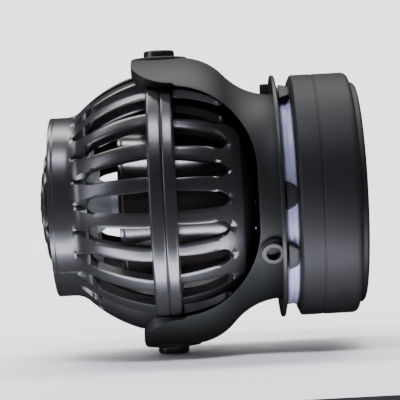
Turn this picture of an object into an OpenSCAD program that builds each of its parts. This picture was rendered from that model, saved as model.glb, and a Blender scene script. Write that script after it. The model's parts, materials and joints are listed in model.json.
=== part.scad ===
// Wave maker pump: a caged propeller pump on a forked bracket and a magnet base.
// X is the pump's axis and points from the outlet nozzle to the glass, Z is up.
// The origin is the centre of the face that rests on the glass.
// Distances called u run along X from the tilt axis, positive towards the glass.

/* [Cage] */
// Outer radius of the rim where the two cage halves meet
rim_r = 30; // [26:0.5:36]
// Width of the front half of that rim
rim_front = 3; // [2.5:0.1:3.6]
// Width of the rear half of that rim
rim_rear = 2.6; // [2.2:0.1:3.1]
// Depth of the rim below its outer face
rim_depth = 3.6; // [3:0.1:4.3]
// How far the front ribs lie below the rim where they meet it
front_step = 0.5; // [0.3:0.1:0.9]
// How far the centre of the front ribs' ball lies behind the tilt axis
front_ball_u = 2.5; // [1.5:0.1:3]
// How far the rear ribs lie below the rim
rear_step = 2.2; // [1.8:0.1:2.7]
// Thickness of the cage wall and of its ribs
cage_wall = 2.4; // [2:0.1:2.9]
// Number of slots round each cage half
slot_count = 24; // [20:1:26]
// Width of a slot at the rim
slot_w = 4.6; // [3.8:0.1:4.8]
// Width of a slot at its round end
slot_end_w = 3.3; // [2.8:0.1:3.6]
// Distance from the front slots' ends to the nozzle's root
slot_margin = 2.9; // [2.4:0.1:4]
// How far the rear slots reach from the tilt axis
rear_slot_u = 13.8; // [12:0.1:14.3]
// How far the rear ribs' ball reaches from the tilt axis
rear_edge_u = 17; // [16.2:0.1:17.6]
// Thickness of the rear cage's back wall
rear_wall = 2.3; // [1.9:0.1:2.7]
// Radius of the rear cage's flat back
rear_flat_r = 13.5; // [11:0.1:14]

/* [Nozzle] */
// Outer radius of the outlet nozzle
nozzle_r = 20.3; // [17:0.1:22]
// Wall of the nozzle
nozzle_wall = 1.7; // [1.3:0.1:2]
// How far the nozzle stands out of the ball
nozzle_out = 5.8; // [4.8:0.1:8]
// Radius of the blend from nozzle to ball
nozzle_blend = 5; // [3:0.5:6]
// Thickness of the outlet guard's rings and vanes
guard_bar = 1.2; // [1:0.1:1.4]
// Depth of the outlet guard
guard_t = 1.6; // [1.3:0.1:1.9]
// How far the middle of the guard stands out of the nozzle
guard_dome = 3; // [2.4:0.1:3.4]
// Number of long vanes in the guard
vane_count = 8; // [6:1:10]

/* [Motor] */
// Radius of the motor housing
motor_r = 17; // [15:0.1:19]
// Length of the motor housing with its front cover
motor_l = 27.8; // [26:0.1:28.4]
// Wall of the motor housing
motor_wall = 1.4; // [1.1:0.1:1.7]
// Radius of the rotor well
well_r = 8; // [7.6:0.1:8.6]
// Wall of the rotor well
well_wall = 0.8; // [0.6:0.1:1]
// Length of the stator stack
stack_l = 15; // [12:0.5:15.5]
// Width of a stator tooth
tooth_w = 3.6; // [3:0.1:4.2]
// Thickness of a coil's side
coil_t = 1.3; // [1:0.1:1.5]

/* [Rotor] */
// Radius of the ceramic shaft
shaft_r = 1.5; // [1.2:0.05:1.8]
// Wall of a rotor bush
bush_t = 1.1; // [0.9:0.1:1.3]
// Wall of the rotor sleeve
sleeve_t = 1; // [0.8:0.1:1.2]
// Radial gap between rotor magnet and well
rotor_gap = 0.8; // [0.6:0.1:1]
// Length of the rotor magnet
rotor_magnet_l = 15.8; // [13:0.1:16.5]
// Number of propeller blades
blade_count = 4; // [3:1:5]
// Gap between the blade tips and the nozzle
tip_gap = 0.8; // [0.6:0.1:1.2]
// Depth of the blades along the shaft
blade_d = 7.2; // [6:0.1:7.4]
// Thickness of a blade
blade_t = 1.3; // [1:0.1:1.6]
// Angle between the blades and the shaft
blade_pitch = 42; // [35:1:50]
// Largest radius of the propeller hub
hub_r = 6.2; // [5.5:0.1:7]

/* [Bracket] */
// Greatest tilt of the cage either way
tilt_max = 20; // [14:1:20]
// Gap between the rim and the arms
arm_gap = 0.5; // [0.4:0.1:0.8]
// Wall of the bracket
bracket_wall = 2; // [1.7:0.1:2.4]
// Radius of the bracket's neck
neck_r = 23.2; // [22:0.1:25]
// Thickness of the bracket's back wall
back_wall = 1.6; // [1.3:0.1:1.9]
// How far the arms reach past the rim's front edge
arm_lap = 3.2; // [2.6:0.1:3.8]
// How far the arms' edges lie below the top of the rim
arm_drop = 5; // [4:0.1:6]
// Depth of the band between the side openings and the back face
neck_band = 5.8; // [5:0.1:6.8]
// Corner radius of the side openings
opening_c = 18.5; // [15:0.5:19]
// Radius of the ears that hold the pivot pins
ear_r = 6.4; // [5.6:0.1:7.2]
// Radius of a pivot pin
pin_r = 2; // [1.7:0.1:2.4]
// Radius of a pivot cap
cap_r = 3.5; // [3:0.1:4.2]
// Height of a pivot cap
cap_h = 1.7; // [1.4:0.1:2]
// Radius of the thin flange behind the neck
flange_r = 27.5; // [26:0.1:30]
// Thickness of that flange
flange_t = 0.9; // [0.8:0.1:1.1]
// Width of a rubber foot behind the flange
foot_w = 6.4; // [5.5:0.1:7.5]
// Radius of the lead that leaves through the neck
lead_r = 1.5; // [1.3:0.05:1.6]

/* [Magnet base] */
// Radius of the magnet base
base_r = 27.3; // [25.6:0.1:33]
// Depth of the base case
base_l = 13.6; // [13:0.1:17]
// Radius of the holding magnet
magnet_r = 20; // [17:0.5:22]
// Thickness of the holding magnet
magnet_t = 7; // [6:0.1:7.4]
// Thickness of the steel keeper behind the magnet
keeper_t = 1.4; // [1.1:0.1:1.6]
// Thickness of the back cover
cover_t = 1.8; // [1.5:0.1:2.1]
// Thickness of the rubber pad on the glass
pad_t = 1.5; // [1.2:0.1:1.8]
// Thickness of the damping ring between bracket and base
damper_t = 2.5; // [2.1:0.1:3]
// Radius of the swivel spindle
spindle_r = 6; // [5:0.1:7]
// Thickness of the swivel washer
washer_t = 0.6; // [0.5:0.1:0.8]

/* [Hidden] */
$fn = 96;
run_gap = 0.05;      // radial clearance of every turning fit
seat_gap = 0.03;     // radial clearance of pieces that are fixed into each other
end_play = 0.1;      // axial play of the rotor
sweep_gap = 0.4;     // room round the cage as it tilts
far = 80;            // past every face, for cuts

front_ball_r = sqrt(pow(rim_r - front_step, 2) + pow(front_ball_u + rim_front, 2));
nozzle_root_u = sqrt(pow(front_ball_r, 2) - pow(nozzle_r, 2)) - front_ball_u;
nozzle_u = nozzle_root_u + nozzle_out;
front_slot_u = nozzle_root_u - slot_margin;
rear_ball_r = rim_r - rear_step;
arm_r = rim_r + arm_gap + bracket_wall;

// The motor hangs from the rear cage's back wall.
motor_front_u = -10.2;
motor_back_u = motor_front_u + motor_l;
rear_flat_u = motor_back_u + rear_wall;
rear_plate_u = rear_edge_u - 1.8;
rear_edge_r = sqrt(pow(rear_ball_r, 2) - pow(rear_edge_u, 2));
// How far back the rear cage reaches at full tilt sets where the bracket's back wall is.
rear_sweep = max(rear_flat_u * cos(tilt_max) + rear_flat_r * sin(tilt_max),
                 rear_edge_u * cos(tilt_max) + rear_edge_r * sin(tilt_max));
washer_u = rear_sweep + sweep_gap;
back_in_u = washer_u + washer_t;
back_u = back_in_u + back_wall;
base_front_u = back_u + damper_t;
bracket_ball_r = rear_ball_r + sweep_gap + bracket_wall;
// Outside of the neck at u: the ball's wall shows where it is the wider of the two.
function neck_out(u) = max(neck_r, sqrt(max(0, pow(bracket_ball_r, 2) - pow(u, 2))));
pivot_x = -(base_front_u + base_l + pad_t);

spot_z = rim_r - 1.5;            // flats on the cage under the ears
rim_ledge = 0.2;                 // between the rim and the slots
ear_in_z = spot_z + 0.2;
ear_out_z = arm_r + 0.2;
pin_in_z = spot_z - 3.9;
block_r = pin_r + 2.5;           // the rear cage's pivot blocks
block_in_z = spot_z - 4.3;

guard_hub_r = 4.6;
seat_r = shaft_r + 1.5;
guard_back_u = -(nozzle_u - guard_t);
nozzle_in_r = nozzle_r - nozzle_wall;
nose_u = guard_back_u + 0.5;     // front of the thrust washer's stack
thrust_t = 0.6;
rotor_front_u = nose_u + thrust_t + end_play;
well_floor_u = motor_back_u - 3.1;
rear_seat_l = 3;
rotor_back_u = well_floor_u - rear_seat_l - thrust_t - end_play;
bush_r = shaft_r + run_gap + bush_t;
sleeve_in_r = bush_r + seat_gap;
sleeve_r = sleeve_in_r + sleeve_t;
bush_l = 3.4;
cap_nut_l = 1.6;
blade_front_u = rotor_front_u + 0.1;
blade_back_u = blade_front_u + blade_d;
tip_r = nozzle_in_r - tip_gap;
rotor_magnet_r = well_r - rotor_gap;

gasket_t = 0.3;
front_cover_t = 0.8;
can_front_u = motor_front_u + front_cover_t + gasket_t;
can_in_r = motor_r - motor_wall;
can_floor_u = motor_back_u - 1.6;
stack_u = -6;
stack_r = can_in_r - 0.2;
stack_bore_r = well_r + well_wall + seat_gap;
yoke_ring = 2.6;                 // depth of the stator's back iron
tooth_count = 6;
coil_over = 1.8;                 // how far a coil passes the stack's ends
screw_r = 1.2;
screw_head_r = 2.2;
screw_circle_r = 12.2;
lead_circle_r = 11;
lead_bush_r = lead_r + 0.9;

key_back = 3.6;                  // a small key on top of the neck
key_l = 1.9;
key_w = 3.2;
key_h = 2.4;

gland_u = back_u - 3.2;
gland_angle = -30;               // below the horizontal, on the -Y side
gland_r = lead_r + 0.7;
gland_flange_r = gland_r + 0.5;
gland_boss_r = gland_flange_r + 0.3;
gland_boss_h = 1.1;
gland_boss_out = neck_out(gland_u - gland_boss_r) + gland_boss_h;
gland_in_z = neck_r - bracket_wall - 1.6;
gland_lip = 0.8;
gland_rim = 0.7;                 // the gland's outer collar
gland_proud = 0.5;               // its body stands this far over the boss
flange_dish = 0.5;
foot_angles = [60, 0, -30];      // elevations on the -Y side, repeated half a turn round
foot_in_r = 25.1;
damper_out_r = foot_in_r - 0.3;
damper_in_r = spindle_r + 5;
chamfer_l = 0.7;
chamfer_r = 1.5;
cavity_r = magnet_r + seat_gap + 0.5;
swivel_screw_r = 1.5;
swivel_head_r = 2.8;
swivel_head_l = 1.5;
swivel_screw_l = 8.5;

// Points of an arc about c, from angle a0 to a1.
function arc(c, r, a0, a1, n = 8) =
    [for (i = [0:n]) c + r * [cos(a0 + (a1 - a0) * i / n), sin(a0 + (a1 - a0) * i / n)]];

// Turns an outline of [radius, u] points about the pump's axis.
module turned() { rotate([0, 90, 0]) rotate_extrude() children(); }
// A ring between two radii and two places on the axis.
module ring(r_out, r_in, u0, u1) {
    turned() translate([r_in, u0]) square([r_out - r_in, u1 - u0]);
}
// A solid bar on the axis.
module bar(r, u0, u1) { translate([u0, 0, 0]) rotate([0, 90, 0]) cylinder(r = r, h = u1 - u0); }
module at_pivot() { translate([pivot_x, 0, 0]) children(); }
module around(n, first = 0) {
    for (i = [0:n - 1]) rotate([first + i * 360 / n, 0, 0]) children();
}
// Both ends of the tilt axis.
module both_ends() {
    children();
    mirror([0, 0, 1]) children();
}

// ---- cage ----

// One slot that narrows to a round end, cut from the inside out on the +Z side.
module slot_cut(from_u, end_u, in_r) {
    centre_u = end_u - sign(end_u) * slot_end_w / 2;
    translate([0, 0, in_r]) linear_extrude(far)
        polygon([[from_u, -slot_w / 2], [centre_u, -slot_end_w / 2],
                 [centre_u, slot_end_w / 2], [from_u, slot_w / 2]]);
    translate([centre_u, 0, in_r]) cylinder(r = slot_end_w / 2, h = far, $fn = 32);
}
// The shallow pointed hollow in front of a front slot, with its floor from the flare into the slot.
module slot_lead_in() {
    tip_u = -front_slot_u - 2.7;
    tip_r = nozzle_r + 0.56;
    translate([tip_u, 0, tip_r]) rotate([0, -26, 0]) linear_extrude(far)
        polygon([[0, -0.3], [1.2, -0.95], [2.8, -1.45], [4.4, -slot_end_w / 2],
                 [4.4, slot_end_w / 2], [2.8, 1.45], [1.2, 0.95], [0, 0.3]]);
}
module ear_spots() {
    both_ends() translate([0, 0, spot_z]) cylinder(r = ear_r + 0.5, h = far);
}
module front_outline() {
    blend_c = nozzle_r + nozzle_blend;
    blend_u = front_ball_u - sqrt(pow(front_ball_r + nozzle_blend, 2) - pow(blend_c, 2));
    join_a = atan2(front_ball_u - blend_u, -blend_c);
    difference() {
        union() {
            intersection() {
                translate([0, front_ball_u]) circle(r = front_ball_r);
                translate([0, -front_slot_u - 0.6]) square([far, front_slot_u + 0.6]);
            }
            polygon(concat([[nozzle_in_r, -nozzle_u], [nozzle_r, -nozzle_u]],
                           arc([blend_c, blend_u], nozzle_blend, 180, join_a, 6),
                           [[nozzle_r, -front_slot_u + 1.5], [nozzle_in_r, -front_slot_u + 1.5]]));
            translate([rim_r - rim_depth, -rim_front]) square([rim_depth, rim_front]);
        }
        translate([0, front_ball_u]) circle(r = front_ball_r - cage_wall);
        translate([0, -nozzle_u - 1]) square([nozzle_in_r, nozzle_u + 2]);
        translate([rim_r, -rim_front]) square([far, rim_front + 1]);
    }
}
module front_cage() {
    color("#23262a") at_pivot() difference() {
        turned() front_outline();
        around(slot_count) {
            slot_cut(-rim_front - rim_ledge, -front_slot_u, nozzle_in_r + 0.4);
            slot_lead_in();
        }
        ear_spots();
        // the front half slides over the rear half's pivot blocks
        both_ends() translate([0, 0, block_in_z - 1]) cylinder(r = block_r + 0.2, h = far);
    }
}
module rear_outline() {
    difference() {
        intersection() {
            circle(r = rear_ball_r);
            polygon([[0, 0], [far, 0], [far, rear_edge_u], [rear_edge_r, rear_edge_u],
                     [rear_flat_r, rear_flat_u], [0, rear_flat_u]]);
        }
        intersection() {
            circle(r = rear_ball_r - cage_wall);
            translate([0, -1]) square([far, rear_plate_u + 1]);
        }
        square([motor_r + seat_gap, motor_back_u]);
    }
    translate([rim_r - rim_depth, 0]) square([rim_depth, rim_rear]);
}
module rear_cage() {
    color("#23262a") at_pivot() difference() {
        union() {
            difference() {
                turned() rear_outline();
                around(slot_count) slot_cut(rim_rear + rim_ledge, rear_slot_u, motor_r + 1);
            }
            both_ends() translate([0, 0, block_in_z]) cylinder(r = block_r, h = spot_z - block_in_z);
        }
        ear_spots();
        both_ends() translate([0, 0, block_in_z - 1]) cylinder(r = pin_r + run_gap, h = far);
        around(3) translate([0, 0, screw_circle_r]) {
            bar(screw_r + 0.2, motor_back_u - 1, rear_flat_u + 1);
            bar(screw_head_r + 0.2, rear_flat_u - 1.3, rear_flat_u + 1);
        }
        translate([0, 0, -lead_circle_r]) bar(lead_bush_r + seat_gap, motor_back_u - 1, rear_flat_u + 1);
    }
}

// ---- outlet guard and shaft ----

module outlet_guard() {
    ring_r = [nozzle_in_r - seat_gap, 14.6, 11.9, 8.2];
    color("#1d2023") at_pivot() {
        difference() {
            union() {
                ring(ring_r[0], ring_r[0] - guard_bar, -nozzle_u, guard_back_u);
                ring(ring_r[1] + guard_bar / 2, ring_r[1] - guard_bar / 2, -nozzle_u, guard_back_u);
                ring(ring_r[2], ring_r[2] - guard_bar, -nozzle_u - guard_dome / 2, guard_back_u);
                ring(ring_r[3], ring_r[3] - guard_bar, -nozzle_u - guard_dome * 0.8, guard_back_u);
                bar(guard_hub_r, -nozzle_u - guard_dome, guard_back_u);
                around(vane_count) translate([-nozzle_u, -guard_bar / 2, guard_hub_r - 0.5])
                    cube([guard_t, guard_bar, ring_r[0] - guard_hub_r]);
                around(vane_count, 180 / vane_count)
                    translate([-nozzle_u, -guard_bar / 2, ring_r[2] - 0.5])
                        cube([guard_t, guard_bar, ring_r[0] - ring_r[2]]);
                around(vane_count) translate([-nozzle_u - guard_dome / 2, -guard_bar / 2, guard_hub_r - 0.5])
                    cube([guard_dome, guard_bar, ring_r[2] - guard_hub_r]);
            }
            bar(seat_r + seat_gap, -nozzle_u - guard_dome + 0.9, guard_back_u + 1);
        }
    }
}
module front_shaft_seat() {
    front = -nozzle_u - guard_dome + 0.9;
    color("#3a3a3a") at_pivot() difference() {
        bar(seat_r, front, nose_u);
        bar(shaft_r + seat_gap, front + 0.6, nose_u + 1);
    }
}
module rear_shaft_seat() {
    color("#3a3a3a") at_pivot() difference() {
        bar(seat_r + 0.4, well_floor_u - rear_seat_l, well_floor_u);
        bar(shaft_r + seat_gap, well_floor_u - rear_seat_l - 1, well_floor_u - 0.6);
    }
}
module shaft() {
    color("ivory") at_pivot()
        bar(shaft_r, -nozzle_u - guard_dome + 1.5, well_floor_u - 0.6);
}
module thrust_washer(u) {
    color("white") at_pivot() ring(seat_r + 0.3, shaft_r + run_gap, u, u + thrust_t);
}
module front_thrust_washer() { thrust_washer(nose_u); }
module rear_thrust_washer() { thrust_washer(well_floor_u - rear_seat_l - thrust_t); }

// ---- motor ----

module motor_housing() {
    color("#2b2a29") at_pivot() difference() {
        union() {
            ring(motor_r, can_in_r, can_front_u, motor_back_u);
            bar(motor_r, can_floor_u, motor_back_u);
            bar(well_r + well_wall, can_front_u, motor_back_u - 0.5);
            around(3) translate([0, 0, screw_circle_r]) bar(screw_r + 1.4, motor_back_u - 4.5, motor_back_u - 0.5);
        }
        bar(well_r, can_front_u - 1, well_floor_u);
        around(3) translate([0, 0, screw_circle_r]) bar(screw_r + seat_gap, motor_back_u - 4, motor_back_u + 1);
        translate([0, 0, -lead_circle_r]) bar(lead_bush_r + seat_gap, can_floor_u - 1, motor_back_u + 1);
    }
}
module motor_front_cover() {
    color("#2b2a29") at_pivot() ring(motor_r, well_r, motor_front_u, motor_front_u + front_cover_t);
}
module cover_gasket() {
    color("#5a5a5a") at_pivot() ring(motor_r - 0.2, can_in_r + 0.1, can_front_u - gasket_t, can_front_u);
}
module stator_core() {
    color("slategray") at_pivot() difference() {
        union() {
            ring(stack_r, stack_r - yoke_ring, stack_u, stack_u + stack_l);
            intersection() {
                ring(stack_r - 1, stack_bore_r, stack_u, stack_u + stack_l);
                around(tooth_count) translate([stack_u, -tooth_w / 2, 0]) cube([stack_l, tooth_w, stack_r]);
            }
        }
        bar(stack_bore_r, stack_u - 1, stack_u + stack_l + 1);
    }
}
module stator_coils() {
    in_r = stack_bore_r + 0.5;
    inner_w = tooth_w + 0.1;
    yoke_in_r = stack_r - yoke_ring - 0.1;
    depth = sqrt(pow(yoke_in_r, 2) - pow(inner_w / 2 + coil_t, 2)) - in_r;
    color("#b5651d") at_pivot() around(tooth_count) difference() {
        translate([stack_u - coil_over, -inner_w / 2 - coil_t, in_r])
            cube([stack_l + 2 * coil_over, inner_w + 2 * coil_t, depth]);
        translate([stack_u - 0.1, -inner_w / 2, in_r - 1]) cube([stack_l + 0.2, inner_w, depth + 2]);
    }
}
module potting_ring() {
    color("#15171a") at_pivot()
        ring(can_in_r - seat_gap, stack_bore_r, can_front_u + 0.1, stack_u - coil_over - 0.1);
}
module motor_screws() {
    head_u = rear_flat_u - 1.3;
    color("silver") at_pivot() around(3) translate([0, 0, screw_circle_r]) difference() {
        union() {
            bar(screw_r, motor_back_u - 3.8, head_u + 0.1);
            bar(screw_head_r, head_u, head_u + 1.1);
        }
        translate([head_u + 0.5, -0.3, -1.4]) cube([2, 0.6, 2.8]);
        translate([head_u + 0.5, -1.4, -0.3]) cube([2, 2.8, 0.6]);
    }
}
module motor_lead_seal() {
    color("#303030") at_pivot() translate([0, 0, -lead_circle_r]) difference() {
        bar(lead_bush_r, can_floor_u + 0.1, rear_flat_u + 0.6);
        bar(lead_r, can_floor_u - 1, rear_flat_u + 2);
    }
}

// ---- rotor ----

module propeller() {
    tail_u = motor_front_u - 0.4;
    front_u = rotor_front_u + cap_nut_l;
    color("#aeb1b6") at_pivot() difference() {
        union() {
            turned() polygon([[0, front_u], [hub_r - 1.2, front_u], [hub_r, front_u + 1.4],
                              [hub_r, blade_back_u], [hub_r - 1, blade_back_u + 1.7],
                              [sleeve_r + 0.5, blade_back_u + 3], [sleeve_r + 0.5, tail_u], [0, tail_u]]);
            intersection() {
                ring(tip_r, hub_r - 1, blade_front_u, blade_back_u);
                around(blade_count, 20) translate([(blade_front_u + blade_back_u) / 2, 0, 0])
                    rotate([0, 0, blade_pitch])
                        translate([-far / 8, -blade_t / 2, hub_r - 2]) cube([far / 4, blade_t, tip_r]);
            }
        }
        bar(sleeve_r + seat_gap, front_u + 0.5, motor_front_u);
        bar(shaft_r + 0.4, front_u - 1, motor_front_u);
    }
}
module propeller_nut() {
    color("#9a9da2") at_pivot() difference() {
        turned() polygon([[0, rotor_front_u], [2.6, rotor_front_u], [hub_r - 1.2, rotor_front_u + cap_nut_l],
                          [0, rotor_front_u + cap_nut_l]]);
        bar(shaft_r + 0.2, rotor_front_u - 1, rotor_front_u + cap_nut_l + 1);
    }
}
sleeve_front_u = rotor_front_u + cap_nut_l + 0.5;
module rotor_sleeve() {
    color("#3b3d40") at_pivot() ring(sleeve_r, sleeve_in_r, sleeve_front_u, rotor_back_u);
}
module rotor_magnet() {
    magnet_back = rotor_back_u - 0.5;
    color("#4a4a4e") at_pivot()
        ring(rotor_magnet_r, sleeve_r + seat_gap, magnet_back - rotor_magnet_l, magnet_back);
}
module rotor_bush(u) { color("dimgray") at_pivot() ring(bush_r, shaft_r + run_gap, u, u + bush_l); }
module rotor_front_bush() { rotor_bush(sleeve_front_u); }
module rotor_rear_bush() { rotor_bush(rotor_back_u - bush_l); }

// ---- bracket ----

arm_corner = 5;
arm_half_w = 20;
// The ogee from the arms to the neck, inset by d: a round shoulder, then a hollow that ends on the neck.
arm_flat_u = 4.5;
function ogee(d) =
    let (run = back_u - flange_t - arm_flat_u, drop = arm_r - neck_r,
         both = (run * run + drop * drop) / (2 * drop),
         shoulder = 0.47 * both, hollow = both - shoulder,
         turn = asin(run / both))
    concat(arc([arm_r - shoulder, arm_flat_u], shoulder - d, 0, turn, 10),
           arc([neck_r + hollow, arm_flat_u + run], hollow + d, 180 + turn, 180, 10));
module bracket_outline() {
    front = -rim_front - ear_r;
    difference() {
        union() {
            polygon(concat([[0, front], [arm_r, front]], ogee(0), [[neck_r, back_u], [0, back_u]]));
            // keeps the wall whole round a ball that is large for the arms
            intersection() {
                circle(r = bracket_ball_r);
                square([far, back_u]);
            }
        }
        intersection() {
            union() {
                polygon(concat([[0, -far], [arm_r - bracket_wall, -far]], ogee(bracket_wall),
                               [[neck_r - bracket_wall, back_u], [0, back_u]]));
                circle(r = bracket_ball_r - bracket_wall);
            }
            translate([0, -2 * far]) square([far, 2 * far + back_in_u]);
        }
    }
}
// Side view of what is cut away between the arms, as [u, z] points.
module opening_outline() {
    half_h = rim_r - arm_drop;
    depth = back_u - neck_band;
    c = min(opening_c, depth - 1, half_h - 1);
    polygon(concat([[-far, -half_h]], arc([depth - c, c - half_h], c, -90, 0, 12),
                   arc([depth - c, half_h - c], c, 0, 90, 12), [[-far, half_h]]));
}
// Plan of an arm from above: a broad strap that grows out of the neck.
module arm_plan() {
    front = -(rim_front + arm_lap);
    c = arm_corner;
    w = arm_half_w;
    polygon(concat([[far, -far], [0, -far], [0, -w]], arc([front + c, c - w], c, 270, 180, 6),
                   arc([front + c, w - c], c, 180, 90, 6), [[0, w], [0, far], [far, far]]));
}
// Turns what is built on the +Z side to an elevation on the -Y side.
module neck_side(angle) { rotate([90 - angle, 0, 0]) children(); }
module bracket() {
    color("#24272a") at_pivot() difference() {
        union() {
            intersection() {
                turned() bracket_outline();
                linear_extrude(2 * far, center = true) arm_plan();
            }
            both_ends() translate([0, 0, ear_in_z]) cylinder(r = ear_r, h = ear_out_z - ear_in_z);
            neck_side(gland_angle) translate([gland_u, 0, neck_r - bracket_wall])
                cylinder(r = gland_boss_r, h = gland_boss_out - neck_r + bracket_wall);
            translate([back_u - key_back, -key_w / 2, neck_r - 1])
                cube([key_l, key_w, neck_out(back_u - key_back) + key_h - neck_r + 1]);
        }
        rotate([90, 0, 0]) linear_extrude(2 * far, center = true) opening_outline();
        both_ends() cylinder(r = pin_r + seat_gap, h = far);
        bar(spindle_r + run_gap, back_in_u - 1, back_u + 1);
        neck_side(gland_angle) translate([gland_u, 0, gland_in_z - 1])
            cylinder(r = gland_r + seat_gap, h = far);
        // the back wall makes room for the gland's inner lip
        neck_side(gland_angle) translate([gland_u, 0, gland_in_z - 1])
            cylinder(r = gland_flange_r + seat_gap, h = gland_lip + 1 + seat_gap);
    }
}
module bracket_flange() {
    seat_in_r = neck_out(back_u - flange_t) + seat_gap;
    color("#1b1d1f") at_pivot() difference() {
        turned()
            polygon([[seat_in_r, back_u - flange_t], [foot_in_r, back_u - flange_t],
                     [flange_r, back_u - flange_t - flange_dish], [flange_r, back_u - flange_dish],
                     [foot_in_r, back_u], [seat_in_r, back_u]]);
        // a notch for the gland's boss
        neck_side(gland_angle) translate([gland_u, 0, neck_r - 1])
            cylinder(r = gland_boss_r + 0.1, h = far);
    }
}
module bumper_feet() {
    foot_l = damper_t - 0.2;
    color("#202326") at_pivot() for (half = [0, 180], a = foot_angles) rotate([half, 0, 0]) neck_side(a)
        intersection() {
            translate([back_u, 0, foot_in_r - 1]) rotate([0, 0, -90]) linear_extrude(3)
                polygon([[-foot_w / 2, 0], [foot_w / 2, 0],
                         [foot_w / 2 - 1.2, foot_l], [1.2 - foot_w / 2, foot_l]]);
            ring(flange_r - 0.6, foot_in_r, back_u, back_u + foot_l);
        }
}
module cable_gland() {
    color("#2e3134") at_pivot() neck_side(gland_angle) translate([gland_u, 0, 0]) difference() {
        union() {
            translate([0, 0, gland_in_z]) cylinder(r = gland_r, h = gland_boss_out + gland_proud - gland_in_z);
            translate([0, 0, gland_boss_out]) cylinder(r = gland_flange_r, h = gland_rim);
            translate([0, 0, gland_in_z]) cylinder(r = gland_flange_r, h = gland_lip);
        }
        cylinder(r = lead_r, h = far);
    }
}
module pivot_pin() {
    color("silver") at_pivot() translate([0, 0, pin_in_z]) cylinder(r = pin_r, h = ear_out_z - pin_in_z);
}
module pivot_cap() {
    color("#141516") at_pivot() translate([0, 0, ear_out_z]) rotate_extrude()
        polygon(concat([[0, 0], [cap_r, 0]], arc([cap_r - 0.8, cap_h - 0.8], 0.8, 0, 90, 4), [[0, cap_h]]));
}
module upper_pivot_pin() { pivot_pin(); }
module lower_pivot_pin() { mirror([0, 0, 1]) pivot_pin(); }
module upper_pivot_cap() { pivot_cap(); }
module lower_pivot_cap() { mirror([0, 0, 1]) pivot_cap(); }

// ---- magnet base ----

base_back_u = base_front_u + base_l;     // where the pad starts
magnet_back_u = base_back_u - cover_t - 0.1;
module base_case() {
    cavity_u = magnet_back_u - magnet_t - keeper_t - 0.1;
    color("#2a2c2e") at_pivot() difference() {
        union() {
            turned() polygon(concat([[0, base_front_u], [base_r - chamfer_r, base_front_u],
                                     [base_r, base_front_u + chamfer_l]],
                                    arc([base_r - 1.6, base_back_u - 1.6], 1.6, 0, 90, 5),
                                    [[0, base_back_u]]));
            bar(spindle_r, back_in_u - 0.1, base_front_u + 1);
        }
        bar(cavity_r, cavity_u, base_back_u + 1);
        bar(cavity_r + 2 + seat_gap, base_back_u - cover_t, base_back_u + 1);
        bar(swivel_screw_r + seat_gap, back_in_u - 1, washer_u + swivel_screw_l + 0.4);
    }
}
module holding_magnet() {
    color("silver") at_pivot() bar(magnet_r, magnet_back_u - magnet_t, magnet_back_u);
}
module magnet_keeper() {
    color("lightsteelblue") at_pivot()
        ring(magnet_r, swivel_screw_r + 2.5, magnet_back_u - magnet_t - keeper_t, magnet_back_u - magnet_t);
}
module base_back_cover() {
    color("#26282a") at_pivot() bar(cavity_r + 2, base_back_u - cover_t, base_back_u);
}
module glass_pad() {
    groove = 0.5;
    color("#17181a") difference() {
        turned() polygon([[0, -pad_t], [base_r - 2.3, -pad_t], [base_r - 2.3, -0.5], [base_r - 2.8, 0], [0, 0]]);
        for (r = [8, 15]) ring(r + 1.2, r, -groove, 1);
    }
}
module damping_ring() {
    color("#b9c1d6") at_pivot() ring(damper_out_r, damper_in_r, back_u + run_gap, base_front_u);
}
module swivel_washer() {
    color("silver") at_pivot() ring(spindle_r + 2, swivel_screw_r + 0.1, washer_u, back_in_u - 0.1);
}
module swivel_screw() {
    color("silver") at_pivot() difference() {
        union() {
            bar(swivel_head_r, washer_u - swivel_head_l, washer_u);
            bar(swivel_screw_r, washer_u - 0.5, washer_u + swivel_screw_l);
        }
        for (a = [0, 90]) rotate([a, 0, 0])
            translate([washer_u - swivel_head_l - 1, -0.4, -1.8]) cube([1.8, 0.8, 3.6]);
    }
}

base_case();
holding_magnet();
magnet_keeper();
base_back_cover();
glass_pad();
damping_ring();
swivel_washer();
swivel_screw();
bracket();
bracket_flange();
bumper_feet();
cable_gland();
upper_pivot_pin();
lower_pivot_pin();
upper_pivot_cap();
lower_pivot_cap();
front_cage();
rear_cage();
outlet_guard();
front_shaft_seat();
rear_shaft_seat();
shaft();
front_thrust_washer();
rear_thrust_washer();
motor_housing();
motor_front_cover();
cover_gasket();
stator_core();
stator_coils();
potting_ring();
motor_screws();
motor_lead_seal();
propeller();
propeller_nut();
rotor_sleeve();
rotor_magnet();
rotor_front_bush();
rotor_rear_bush();
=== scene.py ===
# The looks of the wave maker pump: detailed shells for what shows, finishes for every piece,
# a pale studio floor, soft lights and a camera. Lengths are in metres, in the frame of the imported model.
import json
from math import acos, asin, cos, degrees, hypot, pi, radians, sin, sqrt, tan

import bmesh
import bpy
from mathutils import Euler, Matrix, Vector


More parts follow.
